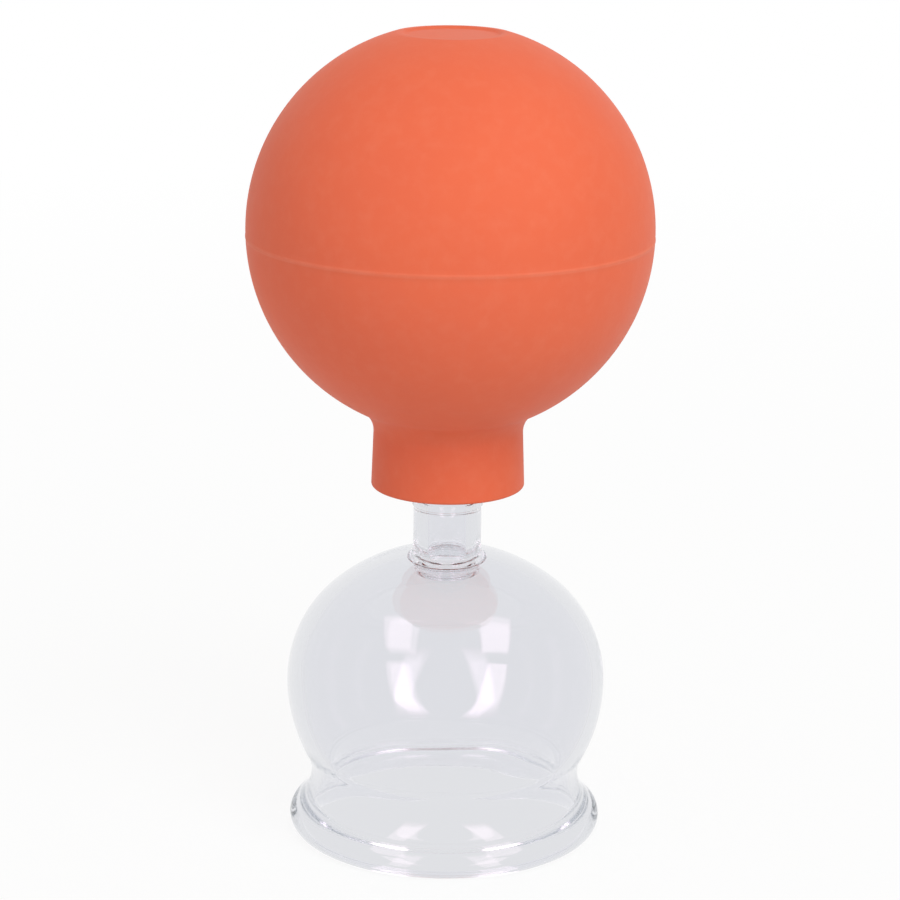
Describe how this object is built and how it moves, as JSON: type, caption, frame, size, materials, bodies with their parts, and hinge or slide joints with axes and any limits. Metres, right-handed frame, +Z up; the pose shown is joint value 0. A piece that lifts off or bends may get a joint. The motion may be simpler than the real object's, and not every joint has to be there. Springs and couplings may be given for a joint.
{
  "type": "cupping cup with squeeze ball",
  "caption": "Clear glass suction cup with a rolled rim and a hollow stem, topped by a soft rubber squeeze ball that pushes on and pulls off.",
  "frame": {"origin": "on the axis of the cup, in the plane of the rim that rests on the skin or on a table", "axes": "+Z up along the axis, from the rim through the bowl and the stem to the ball's pole; the object is round, so +X is any side"},
  "size_m": [0.062, 0.062, 0.1252],
  "materials": {
    "clear_glass": "clear, fire-polished, glossy",
    "ball_rubber": "matt moulded rubber, orange-red"
  },
  "bodies": {
    "cup": {"glass_cup": "clear_glass"},
    "ball": {"ball_lower_half": "ball_rubber"},
    "crown": {"ball_upper_half": "ball_rubber"}
  },
  "joints": [
    {"name": "ball_pull_off", "type": "slide", "parent": "cup", "child": "ball", "axis": [0, 0, 1], "range_m": [0, 0.016]},
    {"name": "ball_squeeze", "type": "slide", "parent": "ball", "child": "crown", "axis": [0, 0, -1], "range_m": [0, 0.02], "stiffness_N_per_m": 900, "springref_m": -0.001, "deforming": ["ball_upper_half"]}
  ]
}
